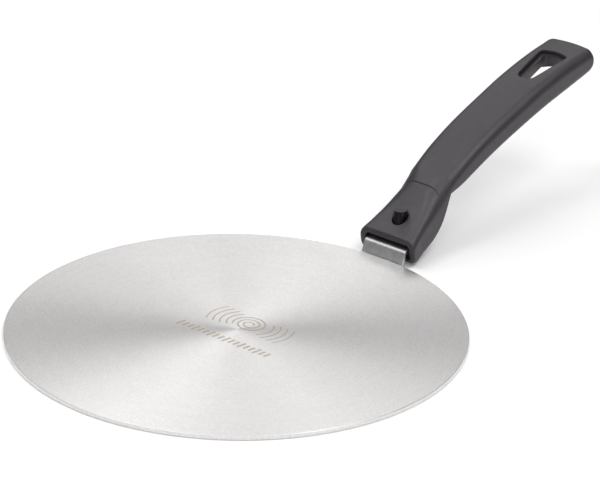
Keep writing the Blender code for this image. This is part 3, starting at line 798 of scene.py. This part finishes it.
def build_bead(name, x0, x1, mat):
    """Weld bead with overlapping scale-like ripples."""
    bm = bmesh.new()
    rings = []
    n, m = 72, 18
    rad = DISC_R + 0.84
    for k in range(n + 1):
        t = k / n
        x = x0 + (x1 - x0) * t
        ripple = abs(math.sin(math.pi * t * 11))
        r = 0.31 + 0.07 * ripple + 0.015 * math.sin(t * 37.0)
        if t < 0.06:
            r *= math.sqrt(max(0.02, 1 - (1 - t / 0.06) ** 2))
        if t > 0.94:
            r *= math.sqrt(max(0.02, 1 - (1 - (1 - t) / 0.06) ** 2))
        c = Vector((x, math.sqrt(rad * rad - x * x), 0.47))
        d = Vector((1, -x / c.y, 0)).normalized()
        side = Vector((0, 0, 1)).cross(d).normalized()
        rings.append([bm.verts.new((c + side * (r * math.cos(2 * math.pi * j / m))
                                    + Vector((0, 0, 1)) * (r * math.sin(2 * math.pi * j / m))) * MM)
                      for j in range(m)])
    for a, b in zip(rings, rings[1:]):
        for j in range(m):
            bm.faces.new((a[j], a[(j + 1) % m], b[(j + 1) % m], b[j]))
    bm.faces.new(rings[0][::-1])
    bm.faces.new(rings[-1])
    return make_mesh(bm, name, mat, 60.0)


def build_button(mat):
    r, t = BUTTON_R, BUTTON_TOP
    edge = [(t - 0.5 + 0.5 * math.sin(math.radians(a)), r - 0.5 + 0.5 * math.cos(math.radians(a)))
            for a in range(0, 91, 10)]
    parts = [(COLLAR_Z[0], COLLAR_R - 0.25), (COLLAR_Z[0] + 0.07, COLLAR_R - 0.07),
             (COLLAR_Z[0] + 0.25, COLLAR_R), (COLLAR_Z[1] - 0.1, COLLAR_R), (COLLAR_Z[1], COLLAR_R - 0.1),
             (COLLAR_Z[1], r + 0.2), (COLLAR_Z[1] + 0.2, r), (17.0, r), (20.0, r)]
    parts += edge + [(t - 0.02, r - 0.9), (t - 0.10, r - 1.25), (t - 0.13, r * 0.45), (t - 0.13, r * 0.18)]
    return turned("press_button", (0, BUTTON_Y, 0), (0, 0, 1), parts, mat, 96, 40.0)


def build_leaf(mat):
    """Leaf latch in fine steps along its length."""
    path = [(120.45, 6.6), (120.45, 7.4), (120.45, 8.2), (120.45, 9.0)]
    path += bend_path([(120.45, 9.4), (120.45, LEAF_Z), (121.6, LEAF_Z)], [0.7], 8)
    path += [(122.0 + 0.58 * k, LEAF_Z) for k in range(1, 20)] + [(133.6, LEAF_Z)]
    # the sheet is thinned from below, so that it clears the strip when the button is down
    thin = 0.2
    path = [(y, z + thin / 2) for y, z in path]
    ob = bent_sheet("leaf_spring", path, LEAF_HALF * 2, LEAF_T - thin, mat, 10)
    for sx in (-1, 1):
        lo, hi = sorted((sx * 2.5, sx * 6.0))
        cut(ob, box("c_neck%d" % sx, (lo, 119.0, 8.8), (hi, 121.2, 9.9)))
    cut(ob, turned("c_eye", (0, LEAF_SCREW_Y, LEAF_Z - 2), (0, 0, 1), [(0, 1.6), (4, 1.6)], segments=40))
    return settle(ob)


def ribbon(bm, path, width, z0, z1, closed=False):
    """Thin raised line of constant width along a path of (x, y) points."""
    n = len(path)
    rows = []
    for i in range(n):
        a = Vector(path[(i - 1) % n]) if (closed or i > 0) else Vector(path[i])
        b = Vector(path[(i + 1) % n]) if (closed or i < n - 1) else Vector(path[i])
        t = (b - a).normalized()
        s = Vector((-t.y, t.x)) * width / 2
        p = Vector(path[i])
        rows.append([bm.verts.new(((p + s).x * MM, (p + s).y * MM, z0 * MM)),
                     bm.verts.new(((p - s).x * MM, (p - s).y * MM, z0 * MM)),
                     bm.verts.new(((p - s).x * MM, (p - s).y * MM, z1 * MM)),
                     bm.verts.new(((p + s).x * MM, (p + s).y * MM, z1 * MM))])
    pairs = [(rows[i], rows[(i + 1) % n]) for i in range(n if closed else n - 1)]
    for a, b in pairs:
        for k in range(4):
            bm.faces.new((a[k], a[(k + 1) % 4], b[(k + 1) % 4], b[k]))
    if not closed:
        bm.faces.new(rows[0][::-1])
        bm.faces.new(rows[-1])


def build_mark(mat):
    """Generic sign: a flat coil between waves, over a row of short strokes."""
    bm = bmesh.new()
    z0, z1 = DISC_T - 0.03, DISC_T + 0.018
    w = 0.85
    cx, cy = 1.4, 8.3
    # flat coil
    turns = 2.6
    steps = 170
    coil = []
    for k in range(steps + 1):
        a = 2 * math.pi * turns * k / steps
        r = 1.4 + 6.6 * k / steps
        coil.append((cx + r * math.cos(a) * 1.12, cy + r * math.sin(a) * 0.98))
    ribbon(bm, coil, w, z0, z1)
    # waves leaving it on both sides
    for side in (-1, 1):
        for k in range(4):
            r = 11.3 + 3.3 * k
            pts = []
            span = 42 - 5 * k
            for j in range(25):
                a = math.radians(-span + 2 * span * j / 24)
                pts.append((cx + side * r * math.cos(a) * 1.08, cy + r * math.sin(a) * 0.86))
            ribbon(bm, pts, w * (1.0 - 0.08 * k), z0, z1)
    # row of slanted strokes below
    y0, y1 = -14.4, -8.8
    for k in range(18):
        x = -24.8 + 3.15 * k
        h = 1.0 if k % 3 == 0 else 0.74
        mid = (y0 + y1) / 2
        ribbon(bm, [(x - 0.45 * h, mid - (y1 - y0) / 2 * h), (x + 0.45 * h, mid + (y1 - y0) / 2 * h)],
               1.3, z0, z1)
    return make_mesh(bm, "etched_mark", mat, 30.0)


# ------------------------------------------------------------ assemble
M_DISC = disc_material()
M_STRIP = strip_material()
M_WELD = weld_material()
M_HANDLE = plastic_material("handle_black_look", (0.0215, 0.0168, 0.0222), (0.0355, 0.0285, 0.0365), 0.44, level=0.72)
M_COVER = plastic_material("cover_black_look", (0.0200, 0.0158, 0.0205), (0.0325, 0.0260, 0.0335), 0.47, level=0.66)
M_BUTTON = button_material()
M_SPRING = spring_material()
M_SCREW = screw_material()
M_MARK = mark_material()

CAD_LOOK = {"disc": M_DISC, "tang_strip": M_STRIP, "rim_weld_left": M_WELD, "rim_weld_right": M_WELD,
            "handle_body": M_HANDLE, "nose_cover": M_COVER, "cover_screw_left": M_SCREW,
            "cover_screw_right": M_SCREW, "latch_leaf": M_SPRING, "leaf_screw": M_SCREW,
            "lock_button": M_BUTTON}
for node, mat in CAD_LOOK.items():
    ob = frame["nodes"][node]
    if not ob.material_slots:
        ob.data.materials.append(mat)
    for s in ob.material_slots:
        s.material = mat

handle = build_handle(M_HANDLE)
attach(handle, "handle")
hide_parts("handle_body")

strip = build_strip(M_STRIP)
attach(strip, "adapter")
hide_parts("tang_strip")

for tag, x0, x1 in (("left", -11.2, -3.4), ("right", 3.4, 11.2)):
    bead = build_bead("bead_" + tag, x0, x1, M_WELD)
    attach(bead, "adapter")
    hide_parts("rim_weld_" + tag)

button = build_button(M_BUTTON)
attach(button, "button")
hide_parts("lock_button")

leaf = build_leaf(M_SPRING)
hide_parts("latch_leaf")
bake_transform(leaf)

mark = build_mark(M_MARK)
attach(mark, "adapter")

# ------------------------------------------------------------ stage
def floor_piece():
    bm = bmesh.new()
    bmesh.ops.create_grid(bm, x_segments=24, y_segments=24, size=6.0)
    bmesh.ops.translate(bm, verts=bm.verts[:], vec=(0, 0, -0.0003))
    m = Nodes("floor_look")
    v = m.coord()
    m.set(Base_Color=m.mix(m.noise(v, 3.0, 2.0, 0.5), (0.94, 0.94, 0.94), (0.96, 0.96, 0.96)),
          Roughness=0.9, Specular_IOR_Level=0.2, Emission_Color=(1.0, 1.0, 1.0, 1.0), Emission_Strength=0.12)
    ob = make_mesh(bm, "studio_floor", m.mat)
    return ob


floor_piece()

LIGHTS = [
    # name, azimuth from the camera's far direction (deg, + to its right), elevation, distance, width, height, watts, colour
    ("back_box", 0.0, 40.0, 1.9, 1.4, 0.6, 4.9, (1.0, 1.0, 1.0)),
    ("front_box", 180.0, 45.0, 1.9, 1.2, 0.7, 6.4, (1.0, 0.995, 0.99)),
    ("left_top", -90.0, 70.0, 1.6, 0.55, 0.9, 6.5, (1.0, 0.99, 0.985)),
    ("left_back", -45.0, 55.0, 1.8, 0.9, 0.7, 2.9, (1.0, 0.995, 0.99)),
    ("left_front", -120.0, 60.0, 1.6, 0.7, 0.7, 0.8, (1.0, 0.99, 0.985)),
    ("right_top", 90.0, 70.0, 1.6, 0.55, 0.9, 2.2, (0.995, 0.995, 1.0)),
    ("right_back", 45.0, 55.0, 1.8, 0.9, 0.7, 0.7, (1.0, 1.0, 1.0)),
    ("right_front", 120.0, 60.0, 1.6, 0.7, 0.7, 7.4, (1.0, 0.995, 0.99)),
]
FAR = math.radians(40.4)
AWAY = Vector((-math.sin(FAR), math.cos(FAR), 0))
RIGHT = Vector((math.cos(FAR), math.sin(FAR), 0))


def add_light(name, az, el, dist, w, h, watts, colour, target=Vector((0, 0.04, 0.02))):
    data = bpy.data.lights.new(name, "AREA")
    data.shape = "RECTANGLE"
    data.size, data.size_y = w, h
    data.energy = watts
    data.color = colour
    ob = bpy.data.objects.new(name, data)
    a, e = math.radians(az), math.radians(el)
    d = (AWAY * math.cos(a) + RIGHT * math.sin(a)) * math.cos(e) + Vector((0, 0, math.sin(e)))
    ob.location = target + d * dist
    ob.rotation_mode = "QUATERNION"
    ob.rotation_quaternion = (-d).to_track_quat("-Z", "Y")
    SCENE.collection.objects.link(ob)
    return ob


for spec in LIGHTS:
    add_light(*spec)

WORLD_STRENGTH = 0.19
world = bpy.data.worlds.new("studio")
SCENE.world = world
world.use_nodes = True
bg = world.node_tree.nodes["Background"]
bg.inputs["Color"].default_value = (1.0, 1.0, 1.0, 1.0)
bg.inputs["Strength"].default_value = WORLD_STRENGTH

SCENE.view_settings.view_transform = "Standard"

# ------------------------------------------------------------ camera
def make_camera():
    """The view is given by its direction, distance, roll and where its axis falls."""
    f, dist, elev, roll, u0, v0 = 3722.8, 1.76, math.radians(25.70), math.radians(-0.87), 236.5, 329.2
    az = FAR
    place = Vector((math.sin(az) * math.cos(elev), -math.cos(az) * math.cos(elev), math.sin(elev))) * dist
    place.z += 0.002
    fw = Vector((-math.sin(az) * math.cos(elev), math.cos(az) * math.cos(elev), -math.sin(elev)))
    rt = Vector((math.cos(az), math.sin(az), 0))
    up = rt.cross(fw)
    m = Matrix((rt, up, fw))
    rr = Matrix(((math.cos(roll), -math.sin(roll), 0), (math.sin(roll), math.cos(roll), 0), (0, 0, 1)))
    d = Vector(((u0 - 300.0) / f, -(v0 - 240.0) / f, 1.0)).normalized()
    q = Vector((0, 0, 1)).rotation_difference(d).to_matrix()
    full = q @ rr @ m
    x, y, z = Vector(full[0]), Vector(full[1]), Vector(full[2])
    cam = bpy.data.cameras.new("view")
    cam.sensor_fit = "HORIZONTAL"
    cam.sensor_width = 36.0
    cam.lens = f / 600.0 * 36.0
    cam.clip_start, cam.clip_end = 0.05, 30.0
    ob = bpy.data.objects.new("view", cam)
    SCENE.collection.objects.link(ob)
    rot = Matrix((x, y, -z)).transposed()
    ob.matrix_world = Matrix.Translation(place) @ rot.to_4x4()
    SCENE.camera = ob


make_camera()

for other in list(WORK.objects):
    if other.get("used_as_cutter"):
        bpy.data.objects.remove(other, do_unlink=True)
